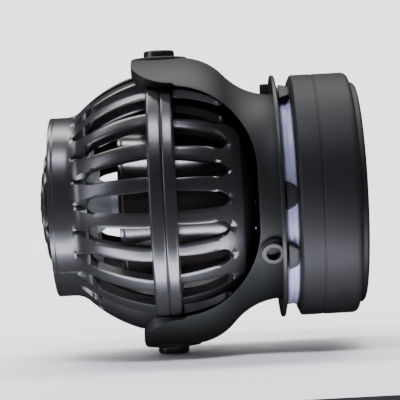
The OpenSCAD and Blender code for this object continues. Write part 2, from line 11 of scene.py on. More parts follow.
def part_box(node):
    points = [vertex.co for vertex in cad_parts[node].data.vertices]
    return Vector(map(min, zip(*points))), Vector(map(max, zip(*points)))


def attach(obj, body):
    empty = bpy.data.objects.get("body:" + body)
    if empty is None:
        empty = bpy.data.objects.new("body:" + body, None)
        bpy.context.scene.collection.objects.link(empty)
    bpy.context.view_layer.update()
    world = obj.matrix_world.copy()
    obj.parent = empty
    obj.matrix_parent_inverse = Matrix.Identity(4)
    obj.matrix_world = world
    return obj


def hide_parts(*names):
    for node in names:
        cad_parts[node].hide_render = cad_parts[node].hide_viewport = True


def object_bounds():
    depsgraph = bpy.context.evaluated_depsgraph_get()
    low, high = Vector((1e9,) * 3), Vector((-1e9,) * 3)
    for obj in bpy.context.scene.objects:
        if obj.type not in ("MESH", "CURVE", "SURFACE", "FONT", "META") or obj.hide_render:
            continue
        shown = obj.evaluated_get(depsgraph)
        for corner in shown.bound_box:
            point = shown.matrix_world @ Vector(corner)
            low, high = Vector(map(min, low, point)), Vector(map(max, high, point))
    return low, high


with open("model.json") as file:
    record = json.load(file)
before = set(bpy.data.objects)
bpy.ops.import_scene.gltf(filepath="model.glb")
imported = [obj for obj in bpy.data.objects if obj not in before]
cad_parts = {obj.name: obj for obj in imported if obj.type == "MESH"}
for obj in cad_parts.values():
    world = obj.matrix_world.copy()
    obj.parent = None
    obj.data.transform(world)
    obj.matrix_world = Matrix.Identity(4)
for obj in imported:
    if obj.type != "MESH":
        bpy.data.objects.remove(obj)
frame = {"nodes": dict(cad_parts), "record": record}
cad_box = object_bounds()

MM = 0.001
scene = bpy.context.scene


# ---------------------------------------------------------------- shader values

class Value:
    """A socket that can be used in Python arithmetic: each operation adds one Math node."""

    def __init__(self, finish, socket):
        self.finish = finish
        self.socket = socket

    def math(self, operation, *others):
        return self.finish.node("Math", {"operation": operation}, *[self, *others])

    def __add__(self, other):
        return self.math("ADD", other)

    def __mul__(self, other):
        return self.math("MULTIPLY", other)

    __radd__ = __add__
    __rmul__ = __mul__

    def over(self, low, high):
        """0 below low, 1 above high, smooth between."""
        return self.finish.node("MapRange", {"interpolation_type": "SMOOTHSTEP"},
                                Value=self, From_Min=low, From_Max=high)


class Finish:
    """One material: a Principled surface with set values, and nodes for what varies."""

    def __init__(self, name, **constants):
        self.material = bpy.data.materials.new(name)
        self.material.use_nodes = True
        self.tree = self.material.node_tree
        self.surface = self.tree.nodes["Principled BSDF"]
        for socket, value in constants.items():
            self.surface.inputs[socket.replace("_", " ")].default_value = value
        self.place = self.node("TexCoord", {}, out="Object")

    def node(self, kind, settings, *values, out=None, **named):
        """Adds a node. Its values go in by order or by socket name; i0, i6 and i7 are sockets by number."""
        made = self.tree.nodes.new("ShaderNode" + kind)
        for key, value in settings.items():
            setattr(made, key, value)
        sockets = list(zip(made.inputs, values))
        for key, value in named.items():
            by_number = key[0] == "i" and key[1:].isdigit()
            sockets.append((made.inputs[int(key[1:]) if by_number else key.replace("_", " ")], value))
        for socket, value in sockets:
            if isinstance(value, Value):
                self.tree.links.new(value.socket, socket)
            else:
                socket.default_value = value
        return Value(self, made.outputs[out] if out else made.outputs[0])

    def noise(self, scale, detail=3.0, roughness=0.5, stretch=None):
        place = self.place
        if stretch:
            place = self.node("Mapping", {}, Vector=place, Scale=stretch)
        return self.node("TexNoise", {}, Vector=place, Scale=scale, Detail=detail, Roughness=roughness)

    def grain(self, scale):
        return self.node("TexVoronoi", {"feature": "SMOOTH_F1"}, Vector=self.place, Scale=scale)

    def edges(self, low, high):
        """1 on convex edges, from the shape of the mesh."""
        return self.node("NewGeometry", {}, out="Pointiness").over(low, high)

    def mix(self, factor, first, second):
        return self.node("Mix", {"data_type": "RGBA"}, i0=factor, i6=first, i7=second, out=2)

    def feed(self, socket, value):
        self.tree.links.new(value.socket, self.surface.inputs[socket])

    def bump(self, height, distance, strength=1.0):
        self.feed("Normal", self.node("Bump", {}, Strength=strength, Distance=distance, Height=height))


def grey(level, tint=(1.0, 1.0, 1.0)):
    return (level * tint[0], level * tint[1], level * tint[2], 1.0)


BLACK_TINT = (0.97, 1.02, 1.0)
WORN_RISE = 4.5        # how much paler worn plastic is than the plastic


def moulded_plastic(name, level, rough, texture=1.0, tint=BLACK_TINT, gloss=0.5, scuffed=0.25):
    """Injection-moulded plastic: fine spark texture, cloudy gloss and pale worn edges."""
    made = Finish(name, Specular_IOR_Level=gloss, IOR=1.48)
    cloud = made.noise(90.0, 4.0, 0.6)
    flow = made.noise(40.0, 3.0, 0.55, (1.0, 3.0, 3.0))
    spark = made.grain(5200.0)
    fine = made.noise(2600.0, 2.0, 0.6)
    wear = made.edges(0.57, 0.68) * made.noise(700.0, 4.0, 0.7).over(0.42, 0.62)
    base = made.mix(cloud.over(0.35, 0.7), grey(level * 0.92, tint), grey(level * 1.1, tint))
    worn = made.mix(wear * scuffed, base, grey(min(level * WORN_RISE + 0.05, 0.6), tint))
    made.feed("Base Color", worn)
    made.feed("Roughness", flow * 0.08 + (rough - 0.04) + fine * 0.06 + wear * 0.1)
    made.bump(spark * 0.6 + fine * 0.5 + flow * 1.4, 0.00003 * texture, 0.55)
    return made.material


def soft_rubber(name, level, rough=0.62, tint=(1.0, 1.0, 1.0)):
    """Matt moulded rubber with bloom and a fine skin."""
    made = Finish(name, Specular_IOR_Level=0.35)
    bloom = made.noise(160.0, 5.0, 0.65)
    skin = made.noise(3400.0, 3.0, 0.6)
    pale = grey(level * 1.6 + 0.002, tint)
    made.feed("Base Color", made.mix(bloom.over(0.4, 0.75), grey(level, tint), pale))
    made.feed("Roughness", bloom * 0.18 + (rough - 0.08))
    made.bump(skin, 0.00003, 0.6)
    return made.material


def milky_silicone(name):
    """Translucent silicone: a pale lavender body that lets light through, with faint clouds."""
    made = Finish(name, Subsurface_Weight=0.55, Subsurface_Scale=0.004, Specular_IOR_Level=0.45,
                  Subsurface_Radius=(0.8, 0.85, 1.0))
    cloud = made.noise(120.0, 4.0, 0.6)
    skin = made.noise(1800.0, 3.0, 0.5)
    made.feed("Base Color", made.mix(cloud.over(0.3, 0.7), (0.27, 0.28, 0.42, 1), (0.36, 0.37, 0.52, 1)))
    made.feed("Roughness", cloud * 0.15 + 0.3)
    made.bump(skin, 0.00003, 0.4)
    return made.material


def turned_metal(name, colour, rough, lines=(2400.0, 60.0, 60.0)):
    """Turned or drawn metal with fine tool lines and a few stains."""
    made = Finish(name, Metallic=1.0)
    tool = made.noise(1.0, 3.0, 0.6, lines)
    stain = made.noise(220.0, 5.0, 0.65)
    dark = tuple(c * 0.78 for c in colour)
    made.feed("Base Color", made.mix(stain.over(0.45, 0.75), (*colour, 1), (*dark, 1)))
    made.feed("Roughness", tool * 0.16 + stain * 0.12 + (rough - 0.12))
    made.bump(tool, 0.00002, 0.5)
    return made.material


def fired_ceramic(name, level, tint):
    """Hard fired ceramic with a thin glaze."""
    made = Finish(name, Specular_IOR_Level=0.6, Coat_Weight=0.3, Coat_Roughness=0.15)
    cloud = made.noise(300.0, 4.0, 0.6)
    fine = made.noise(4200.0, 3.0, 0.6)
    made.feed("Base Color", made.mix(cloud, grey(level * 0.92, tint), grey(level, tint)))
    made.feed("Roughness", fine * 0.15 + 0.2)
    made.bump(fine, 0.00001, 0.4)
    return made.material


def wound_copper(name):
    """Enamelled wire in close turns."""
    made = Finish(name, Metallic=0.85, Coat_Weight=0.6, Coat_Roughness=0.15)
    turns = made.node("TexWave", {"wave_type": "BANDS", "bands_direction": "X"},
                      Vector=made.place, Scale=900.0, Distortion=0.6, Detail=1.0)
    cloud = made.noise(260.0, 3.0, 0.5)
    made.feed("Base Color", made.mix(cloud, (0.55, 0.2, 0.07, 1), (0.8, 0.36, 0.14, 1)))
    made.feed("Roughness", cloud * 0.1 + 0.28)
    made.bump(turns, 0.00015, 0.8)
    return made.material


def stacked_steel(name):
    """Lacquered laminations seen edge on."""
    made = Finish(name, Metallic=0.9)
    sheets = made.node("TexWave", {"wave_type": "BANDS", "bands_direction": "X"},
                       Vector=made.place, Scale=320.0, Distortion=0.0)
    cloud = made.noise(300.0, 4.0, 0.6)
    made.feed("Base Color", made.mix(sheets, (0.16, 0.17, 0.18, 1), (0.34, 0.35, 0.37, 1)))
    made.feed("Roughness", cloud * 0.2 + 0.3)
    made.bump(sheets, 0.0001, 0.7)
    return made.material


FINISHES = {
    "cage_plastic": moulded_plastic("cage_plastic", 0.012, 0.27, 0.22, gloss=0.7),
    "bracket_plastic": moulded_plastic("bracket_plastic", 0.011, 0.5, 1.2, (0.96, 1.04, 0.97), 0.22),
    "guard_plastic": moulded_plastic("guard_plastic", 0.010, 0.3, 0.8, gloss=0.7),
    "base_plastic": moulded_plastic("base_plastic", 0.010, 0.56, 1.3, gloss=0.2, scuffed=0.0),
    "cap_plastic": moulded_plastic("cap_plastic", 0.009, 0.3, 0.7),
    "flange_plastic": moulded_plastic("flange_plastic", 0.008, 0.42, 0.5, gloss=0.3),
    "motor_plastic": moulded_plastic("motor_plastic", 0.010, 0.17, 0.15, (1.3, 1.0, 0.9), 0.9),
    "propeller_plastic": moulded_plastic("propeller_plastic", 0.42, 0.4, 0.8, (0.97, 0.99, 1.03), 0.45, 0.1),
    "bush_plastic": moulded_plastic("bush_plastic", 0.09, 0.4, 0.6),
    "washer_plastic": moulded_plastic("washer_plastic", 0.7, 0.45, 0.6, (1, 0.99, 0.95)),
    "potting_resin": moulded_plastic("potting_resin", 0.012, 0.16, 0.5),
    "damper_silicone": milky_silicone("damper_silicone"),
    "black_rubber": soft_rubber("black_rubber", 0.003),
    "bush_rubber": soft_rubber("bush_rubber", 0.012, 0.5),
    "gasket_rubber": soft_rubber("gasket_rubber", 0.06, 0.55),
    "pin_steel": turned_metal("pin_steel", (0.62, 0.62, 0.61), 0.28),
    "screw_steel": turned_metal("screw_steel", (0.66, 0.66, 0.65), 0.26),
    "keeper_steel": turned_metal("keeper_steel", (0.5, 0.53, 0.58), 0.4, (90.0, 90.0, 90.0)),
    "magnet_metal": turned_metal("magnet_metal", (0.68, 0.68, 0.69), 0.2, (400.0, 400.0, 400.0)),
    "rotor_ferrite": fired_ceramic("rotor_ferrite", 0.05, (1, 1, 1.04)),
    "shaft_ceramic": fired_ceramic("shaft_ceramic", 0.85, (1, 0.98, 0.93)),
    "core_steel": stacked_steel("core_steel"),
    "coil_copper": wound_copper("coil_copper"),
}
SLOT_OF = {part["node"]: part["material_slot"] for part in frame["record"]["subparts"]}
BODY_OF = {node: body for body, nodes in frame["record"]["behaviour"]["bodies"].items() for node in nodes}


# ---------------------------------------------------------------- meshes

def add_object(name, mesh):
    """A mesh linked into the scene as an object."""
    made = bpy.data.objects.new(name, mesh)
    scene.collection.objects.link(made)
    return made


def smooth(mesh, angle):
    """Smooth shading, with edges sharper than the angle (degrees) kept sharp."""
    mesh.polygons.foreach_set("use_smooth", [True] * len(mesh.polygons))
    mesh.set_sharp_from_angle(angle=radians(angle))


WELD = 0.000002


def mesh_from(name, points, faces):
    """A mesh of faces on shared points, welded, with its faces turned outwards."""
    mesh = bpy.data.meshes.new(name)
    work = bmesh.new()
    corners = [work.verts.new(p) for p in points]
    for face in faces:
        ring = [corners[i] for i in dict.fromkeys(face)]
        if len({tuple(round(x, 8) for x in v.co) for v in ring}) > 2:
            work.faces.new(ring)
    bmesh.ops.remove_doubles(work, verts=work.verts, dist=WELD)
    bmesh.ops.dissolve_degenerate(work, edges=work.edges, dist=WELD / 4)
    bmesh.ops.recalc_face_normals(work, faces=work.faces)
    work.to_mesh(mesh)
    work.free()
    return mesh


def joined(name, meshes):
    """Several closed meshes as one."""
    mesh = bpy.data.meshes.new(name)
    work = bmesh.new()
    for each in meshes:
        work.from_mesh(each)
    work.to_mesh(mesh)
    work.free()
    for each in meshes:
        bpy.data.meshes.remove(each)
    return mesh


def moved(mesh, matrix):
    """The same mesh, moved by a matrix."""
    mesh.transform(matrix)
    return mesh


def rounded(points, radius, steps=4):
    """An open outline with its inner corners rounded; radius is one number or one for each point."""
    out = []
    last = len(points) - 1
    for i, point in enumerate(points):
        r = radius[i] if isinstance(radius, (list, tuple)) else radius
        if i in (0, last) or r <= 0:
            out.append(point)
            continue
        here = Vector(point)
        to_a = Vector(points[i - 1]) - here
        to_b = Vector(points[i + 1]) - here
        half = to_a.angle(to_b) / 2
        cut = min(r / tan(half), to_a.length * 0.48, to_b.length * 0.48)
        start = here + to_a.normalized() * cut
        end = here + to_b.normalized() * cut
        for k in range(steps + 1):
            t = k / steps
            out.append(tuple((1 - t) ** 2 * start + 2 * t * (1 - t) * here + t ** 2 * end))
    return out


def lathe(name, outline, around=96, axis="X"):
    """A closed outline of (radius, height) points in mm, turned about an axis through the origin."""
    points, faces = [], []
    count = len(outline)
    for k in range(around):
        a = 2 * pi * k / around
        for r, h in outline:
            across = (r * cos(a) * MM, r * sin(a) * MM)
            if axis == "X":
                points.append((h * MM, across[0], across[1]))
            else:
                points.append((across[0], across[1], h * MM))
    for k in range(around):
        n = (k + 1) % around
        for i in range(count):
            j = (i + 1) % count
            if outline[i][0] < 1e-6 and outline[j][0] < 1e-6:
                continue
            faces.append((k * count + i, k * count + j, n * count + j, n * count + i))
    return mesh_from(name, points, faces)


def block(name, size, centre, bevel):
    """A box in mm with rounded edges, centred at centre (mm)."""
    mesh = bpy.data.meshes.new(name)
    work = bmesh.new()
    bmesh.ops.create_cube(work, size=1.0)
    bmesh.ops.scale(work, vec=Vector(size) * MM, verts=work.verts)
    bmesh.ops.bevel(work, geom=work.edges, offset=bevel * MM, segments=2, affect="EDGES", profile=0.5)
    work.to_mesh(mesh)
    work.free()
    return moved(mesh, Matrix.Translation(Vector(centre) * MM))


def show(name, mesh, nodes, angle=32.0):
    """Shows a mesh in place of CAD nodes, on their body and in their finish."""
    smooth(mesh, angle)
    made = add_object(name, mesh)
    finish = SLOT_OF[nodes[0]]
    mesh.materials.append(FINISHES[finish])
    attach(made, BODY_OF[nodes[0]])
    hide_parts(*nodes)
    return made


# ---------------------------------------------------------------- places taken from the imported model

def box_mm(node):
    """A node's lowest and highest corners at rest, in mm."""
    low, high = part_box(node)
    return [v / MM for v in low], [v / MM for v in high]


CAP = box_mm("upper_pivot_cap")
PIVOT = (CAP[0][0] + CAP[1][0]) / 2          # the tilt axis, on X
FRONT = box_mm("front_cage")
REAR = box_mm("rear_cage")
RIM_R = FRONT[1][1]
NOZZLE_U = FRONT[0][0] - PIVOT
REAR_END_U = REAR[1][0] - PIVOT
AT_PIVOT = Matrix.Translation((PIVOT * MM, 0, 0))
SLOTS = 24


def bored(mesh, cutters):
    """The mesh with round holes cut through it.

    Each cutter is (axis, from, to, r, y, z) in mm from the pivot.
    """
    body = add_object("bore_work", mesh)
    tools = []
    for axis, start, end, r, y, z in cutters:
        tool_mesh = lathe("bore", [(0, start), (r, start), (r, end), (0, end)], 48, axis)
        moved(tool_mesh, Matrix.Translation((PIVOT * MM, y * MM, z * MM)))
        tool = add_object("bore_tool", tool_mesh)
        tools.append(tool)
        cut = body.modifiers.new("bore", "BOOLEAN")
        cut.operation = "DIFFERENCE"
        cut.solver = "EXACT"
        cut.object = tool
    graph = bpy.context.evaluated_depsgraph_get()
    result = bpy.data.meshes.new_from_object(body.evaluated_get(graph))
    for each in [body, *tools]:
        old = each.data
        bpy.data.objects.remove(each)
        bpy.data.meshes.remove(old)
    return result


# ---------------------------------------------------------------- the cage halves

def cage_half(name, head, zone, tail, inner_head, inner_zone, inner_tail, edge, lead):
    """One half of the cage as a closed shell.

    The rows are (u, r) rings: outer ones from the joint through the slotted zone to the far end, and inner
    ones the same way. edge(u) is half a slot's width, and lead(u) is the half width and depth of what is
    sunk beside it on the outside.
    """
    rib = 4
    sector = 360 / SLOTS
    near_u, far_u = zone[0][0], zone[-1][0]
    rings = []

    def half_at(u, kind):
        """Half the slot's width, kept on past its ends."""
        if kind == "zone":
            return edge(u)
        return edge(far_u if abs(u) > abs(near_u) else near_u)

    def level_beside(u, kind):
        """Nothing is sunk on the inside; the rows beside the slot only keep their place."""
        return half_at(u, kind) + 0.35, 0.0

    def ring(u, r, kind, sunk_beside):
        """The ring's points: for each slot its sunk edges, its own edges and its centre, then the rib."""
        half = half_at(u, kind)
        wide, depth = sunk_beside(u, kind)
        wide = max(wide, half + 0.05)
        out = []
        for s in range(SLOTS):
            middle = s * sector
            a_edge = degrees(asin(min(half / r, 0.99))) if r > 1 else 1.5
            a_wide = degrees(asin(min(wide / r, 0.99))) if r > 1 else 2.5
            rib_from = sector - a_wide
            angles = [(-a_wide, 0.0), (-a_edge, depth), (0.0, depth), (a_edge, depth), (a_wide, 0.0)]
            angles += [(a_wide + (rib_from - a_wide) * k / rib, 0.0) for k in range(1, rib)]
            for a, sunk in angles:
                t = radians(middle + a - 90)
                out.append((u, (r - sunk) * cos(t), (r - sunk) * sin(t)))
        return out

    per_slot = 5 + rib - 1          # five rows for the slot and its edges, the rest on the rib
    kinds = ("head", "zone", "tail")
    outer = [(p, kind) for kind, rows in zip(kinds, (head, zone, tail)) for p in rows]
    inner = [(p, kind) for kind, rows in zip(kinds, (inner_head, inner_zone, inner_tail)) for p in rows]
    for (u, r), kind in outer:
        rings.append(ring(u, r, kind, lead))
    for (u, r), kind in reversed(inner):
        rings.append(ring(u, r, kind, level_beside))
    width = SLOTS * per_slot
    total = len(rings)
    first, last = len(head), len(head) + len(zone) - 1
    inner_first = total - 1 - (len(inner_head) + len(inner_zone) - 1)
    inner_last = total - 1 - len(inner_head)

    def inner_of(i):
        return inner_last - (i - first)

    points = [tuple(c * MM for c in p) for row in rings for p in row]
    faces = []
    for i in range(total):
        n = (i + 1) % total
        open_row = first <= i < last or inner_first <= i < inner_last
        for j in range(width):
            if open_row and j % per_slot in (1, 2):
                continue
            m = (j + 1) % width
            faces.append((i * width + j, i * width + m, n * width + m, n * width + j))
    for s in range(SLOTS):
        for i in range(first, last):
            for column in (1, 3):
                j = s * per_slot + column
                a, b = inner_of(i) * width + j, inner_of(i + 1) * width + j
                faces.append((i * width + j, (i + 1) * width + j, b, a))
        for i in (first, last):
            for column in (1, 2):
                j = s * per_slot + column
                a = inner_of(i) * width + j
                faces.append((i * width + j, i * width + j + 1, a + 1, a))
    return mesh_from(name, points, faces)


# The cage's sizes, in mm. A distance called u runs along X from the tilt axis.
BALL_U = 2.5                                 # centre of the front ribs' ball
BALL = hypot(RIM_R - 0.5, BALL_U + 3)        # its radius, half a millimetre under the rim's front edge
WALL = 2.4
REAR_BALL = RIM_R - 2.2
RIM_IN = RIM_R - 3.6
FLAT_Z = RIM_R - 1.5                         # flats under the ears
FLAT_REACH = 8.4
NOZZLE_R = 20.3
NOZZLE_IN = 18.6
FRONT_SLOTS = (-3.2, -16.7)
REAR_SLOTS = (2.8, 13.8)
WIDE_HALF = 2.3                              # half a slot's width at the rim
END_HALF = 1.65                              # and where its end begins
END_REACH = 2.1                              # how long the pointed end is
CHAMFER = 0.34
LEAD_IN = 3.6                                # how far the hollow runs on past a front slot
PIN_HOLE_R = 2.06
BLOCK_HOLE_R = 4.72
SCREW_CIRCLE_R = 12.2
SCREW_WELL_R = 2.4
LEAD_HOLE_R = 2.43
LEAD_CIRCLE_R = 11.0
MOTOR_SEAT_R = 17.05


def flatten_under_ears(mesh):
    """Flats on the cage where the ears of the bracket lie over it."""
    height = FLAT_Z * MM
    for v in mesh.vertices:
        u, y, z = v.co
        if hypot(u, y) < FLAT_REACH * MM and abs(z) > height:
            v.co.z = height if z > 0 else -height


def slot_half(first, end):
    """Half a slot's width along it: it narrows evenly, then closes in a slightly pointed end."""
    side = 1 if end > first else -1
    centre = end - side * END_REACH

    def half(u):
        if (u - centre) * side <= 0:
            return WIDE_HALF + (END_HALF - WIDE_HALF) * (u - first) / (centre - first)
        return END_HALF * max(1 - (abs(u - centre) / END_REACH) ** 1.9, 0.0009) ** 0.55
    return half


def slot_rows(first, end):
    """Where the rings lie along a slot: evenly, then closer together round its end."""
    side = 1 if end > first else -1
    centre = end - side * END_REACH
    straight = [first + (centre - first) * k / 9 for k in range(10)]
    return straight + [centre + side * END_REACH * sin(radians(90 * k / 8)) for k in range(1, 9)]


def two_ends(near, far, r):
    """Cutters for a hole up through the top and the same one down through the bottom."""
    return [("Z", near, far, r, 0, 0), ("Z", -far, -near, r, 0, 0)]


PIN_CUTS = two_ends(23.0, 40.0, PIN_HOLE_R)
BLOCK_CUTS = two_ends(23.0, 31.0, BLOCK_HOLE_R)
SCREW_SPOTS = [(SCREW_CIRCLE_R * sin(radians(a)), SCREW_CIRCLE_R * cos(radians(a))) for a in (0, 120, 240)]
BACK_CUTS = [("X", REAR_END_U - 1.3, REAR_END_U + 1, SCREW_WELL_R, -y, z) for y, z in SCREW_SPOTS]
BACK_CUTS.append(("X", REAR_END_U - 2.6, REAR_END_U + 1, LEAD_HOLE_R, 0, -LEAD_CIRCLE_R))


def front_shell():
    """The front half: rim, ribs over the ball, and the nozzle."""
    def ball(u, r=BALL):
        return sqrt(r * r - (u - BALL_U) ** 2)

    blend_r = 5.0
    blend_u = BALL_U - sqrt((BALL + blend_r) ** 2 - (NOZZLE_R + blend_r) ** 2)

    def surface(u):
        if u <= blend_u:
            return NOZZLE_R
        meet = blend_u + (BALL_U - blend_u) * blend_r / (BALL + blend_r)
        return NOZZLE_R + blend_r - sqrt(blend_r ** 2 - (u - blend_u) ** 2) if u < meet else ball(u)

    half = slot_half(*FRONT_SLOTS)
    tip = FRONT_SLOTS[1] - LEAD_IN

    def lead(u, kind):
        """Beside the slot a fine chamfer; past its end the pointed hollow."""
        if kind == "head":
            return WIDE_HALF + CHAMFER, 0.0
        if u > FRONT_SLOTS[1] + END_HALF:
            return half(u) + CHAMFER, 0.16
        t = min(max((u - tip) / (FRONT_SLOTS[1] + END_HALF - tip), 0.0), 1.0)
        return 0.3 + 1.69 * t ** 0.7, min(0.62 * max(u - tip, 0.0), 1.75) * (1 - 0.6 * t ** 4)

    head = [(0.0, RIM_R - 0.35), (-0.12, RIM_R - 0.22), (-0.3, RIM_R - 0.05), (-0.5, RIM_R), (-1.5, RIM_R),
            (-2.5, RIM_R), (-2.72, RIM_R - 0.05), (-2.9, RIM_R - 0.18), (-2.98, RIM_R - 0.36),
            (-3.05, ball(-3.05) + 0.04)]
    us = slot_rows(*FRONT_SLOTS)
    zone = [(u, surface(u)) for u in us]
    beyond = [FRONT_SLOTS[1] - 0.3 * k for k in range(1, 13)]
    beyond += [tip - 0.15, -20.8, -21.2, -21.7, -22.5, -23.4, -24.1]
    tail = [(u, surface(u)) for u in beyond]
    tail += [(-24.25, NOZZLE_R - 0.02), (-24.4, NOZZLE_R - 0.12), (-24.55, NOZZLE_R - 0.02),
             (-24.8, NOZZLE_R), (NOZZLE_U + 0.25, NOZZLE_R), (NOZZLE_U + 0.08, NOZZLE_R - 0.08),
             (NOZZLE_U, NOZZLE_R - 0.26), (NOZZLE_U, NOZZLE_R - 0.8)]
    inner_head = [(0.0, RIM_IN), (-1.5, RIM_IN), (-2.9, RIM_IN)]
    inner_zone = [(u, max(ball(u, BALL - WALL), NOZZLE_IN)) for u in us]
    inner_tail = [(-17.2, ball(-17.2, BALL - WALL)), (-17.9, NOZZLE_IN), (-20.0, NOZZLE_IN),
                  (-23.0, NOZZLE_IN), (NOZZLE_U + 0.2, NOZZLE_IN), (NOZZLE_U, NOZZLE_IN + 0.2)]
    mesh = cage_half("front_cage_shell", head, zone, tail, inner_head, inner_zone, inner_tail, half, lead)
    flatten_under_ears(mesh)
    return moved(mesh, AT_PIVOT)


def rear_shell():
    """The rear half: rim, ribs, back wall and the blocks that hold the pivot pins."""
    half = slot_half(*REAR_SLOTS)
    inner_ball = REAR_BALL - WALL

    def ball(u, r=REAR_BALL):
        return sqrt(r * r - u * u)

    def lead(u, kind):
        """Beside the slot a fine chamfer; round its end a deeper one that catches the light."""
        if kind == "head":
            return WIDE_HALF + CHAMFER, 0.0
        if u <= REAR_SLOTS[1]:
            into = max(0.0, (u - (REAR_SLOTS[1] - 2 * END_HALF)) / (2 * END_HALF))
            return half(u) + CHAMFER, 0.14 + 0.76 * into
        past = (u - REAR_SLOTS[1]) / 1.3
        return (1.2 * (1 - past) + 0.2, 0.9 * (1 - past)) if past < 1 else (0.4, 0.0)

    edge_u = 17.0          # where the ball ends and the slope to the flat back begins
    edge_r = ball(edge_u)
    flat_r = 13.5
    head = [(0.0, RIM_R - 0.35), (0.12, RIM_R - 0.22), (0.3, RIM_R - 0.05), (0.5, RIM_R), (1.3, RIM_R),
            (2.1, RIM_R), (2.32, RIM_R - 0.05), (2.5, RIM_R - 0.18), (2.58, RIM_R - 0.36), (2.6, RIM_R - 0.6),
            (2.62, ball(2.62) + 0.05)]
    us = slot_rows(*REAR_SLOTS)
    zone = [(u, ball(u)) for u in us]
    tail = [(u, ball(u)) for u in (14.1, 14.6, 15.2, 15.8, 16.3, 16.7)]
    tail += [(16.9, ball(16.9) - 0.02), (17.05, edge_r - 0.3), (17.15, edge_r - 0.6)]
    tail += [(edge_u + (REAR_END_U - edge_u) * t, edge_r + (flat_r - edge_r) * t) for t in (0.3, 0.6, 0.9)]
    tail += [(REAR_END_U - 0.08, flat_r + 0.1), (REAR_END_U, flat_r - 0.4), (REAR_END_U, 9.0),
             (REAR_END_U, 4.0), (REAR_END_U, 0.02)]
    motor_u = box_mm("motor_housing")[1][0] - PIVOT
    inner_head = [(0.0, RIM_IN), (1.3, RIM_IN), (2.4, RIM_IN)]
    inner_zone = [(u, ball(u, inner_ball)) for u in us]
    inner_tail = [(14.6, ball(14.6, inner_ball)), (15.2, ball(15.2, inner_ball)), (15.2, MOTOR_SEAT_R),
                  (motor_u, MOTOR_SEAT_R), (motor_u, 8.0), (motor_u, 0.02)]
    mesh = cage_half("rear_cage_shell", head, zone, tail, inner_head, inner_zone, inner_tail, half, lead)
    flatten_under_ears(mesh)
    blocks = []
    for side in (1, -1):
        low, high = sorted((side * (FLAT_Z - 4.3), side * (FLAT_Z - 0.05)))
        outline = rounded([(2.05, low), (4.5, low), (4.5, high), (2.05, high), (2.05, low)], 0.25)
        blocks.append(moved(lathe("pivot_block", outline, 64, "Z"), AT_PIVOT))
    return joined("rear_cage_shell", [bored(moved(mesh, AT_PIVOT), BACK_CUTS + PIN_CUTS), *blocks])


show("front_cage_shell", bored(front_shell(), BLOCK_CUTS), ["front_cage"])
show("rear_cage_shell", rear_shell(), ["rear_cage"])

# ---------------------------------------------------------------- the bracket

# The bracket's sizes, in mm.
ARM_R = 32.5
BRACKET_WALL = 2.0
NECK_R = 23.2
BACK_U = box_mm("bracket")[1][0] - PIVOT
BACK_IN_U = BACK_U - 1.6
ARM_FLAT_U = 4.5
OGEE_END_U = BACK_U - 0.9
OPEN_DEPTH = BACK_U - 5.8    # how far back the opening between the arms reaches
OPEN_HALF = 25.0             # half its height
OPEN_C = 18.5                # radius of its corners
ARM_FRONT = -6.2
ARM_CORNER = 9.0
ARM_HALF_W = 20
EAR_R = 6.4
EAR_Z = ARM_R + 0.2
BACK_RING_R = 14.0                # a middle ring on the back wall
SPINDLE_HOLE_R = 6.05
BOSS_TOP = NECK_R + 1.1
GLAND_LOW, GLAND_HIGH = box_mm("cable_gland")
GLAND_U = (GLAND_LOW[0] + GLAND_HIGH[0]) / 2 - PIVOT
AT_GLAND = AT_PIVOT @ Matrix.Rotation(radians(120), 4, "X") @ Matrix.Translation((GLAND_U * MM, 0, 0))


def ogee_r(u, inset):
    """Radius of the bracket's outside at u, or of its inside with the wall as inset."""
    run, drop = OGEE_END_U - ARM_FLAT_U, ARM_R - NECK_R
    both = (run * run + drop * drop) / (2 * drop)
    shoulder = 0.47 * both
    hollow = both - shoulder
    turn = asin(run / both)
    if u <= ARM_FLAT_U:
        return ARM_R - inset
    if u <= ARM_FLAT_U + (shoulder - inset) * sin(turn):
        return ARM_R - shoulder + sqrt((shoulder - inset) ** 2 - (u - ARM_FLAT_U) ** 2)
    if u < OGEE_END_U:
        return NECK_R + hollow - sqrt((hollow + inset) ** 2 - (u - OGEE_END_U) ** 2)
    return NECK_R - inset


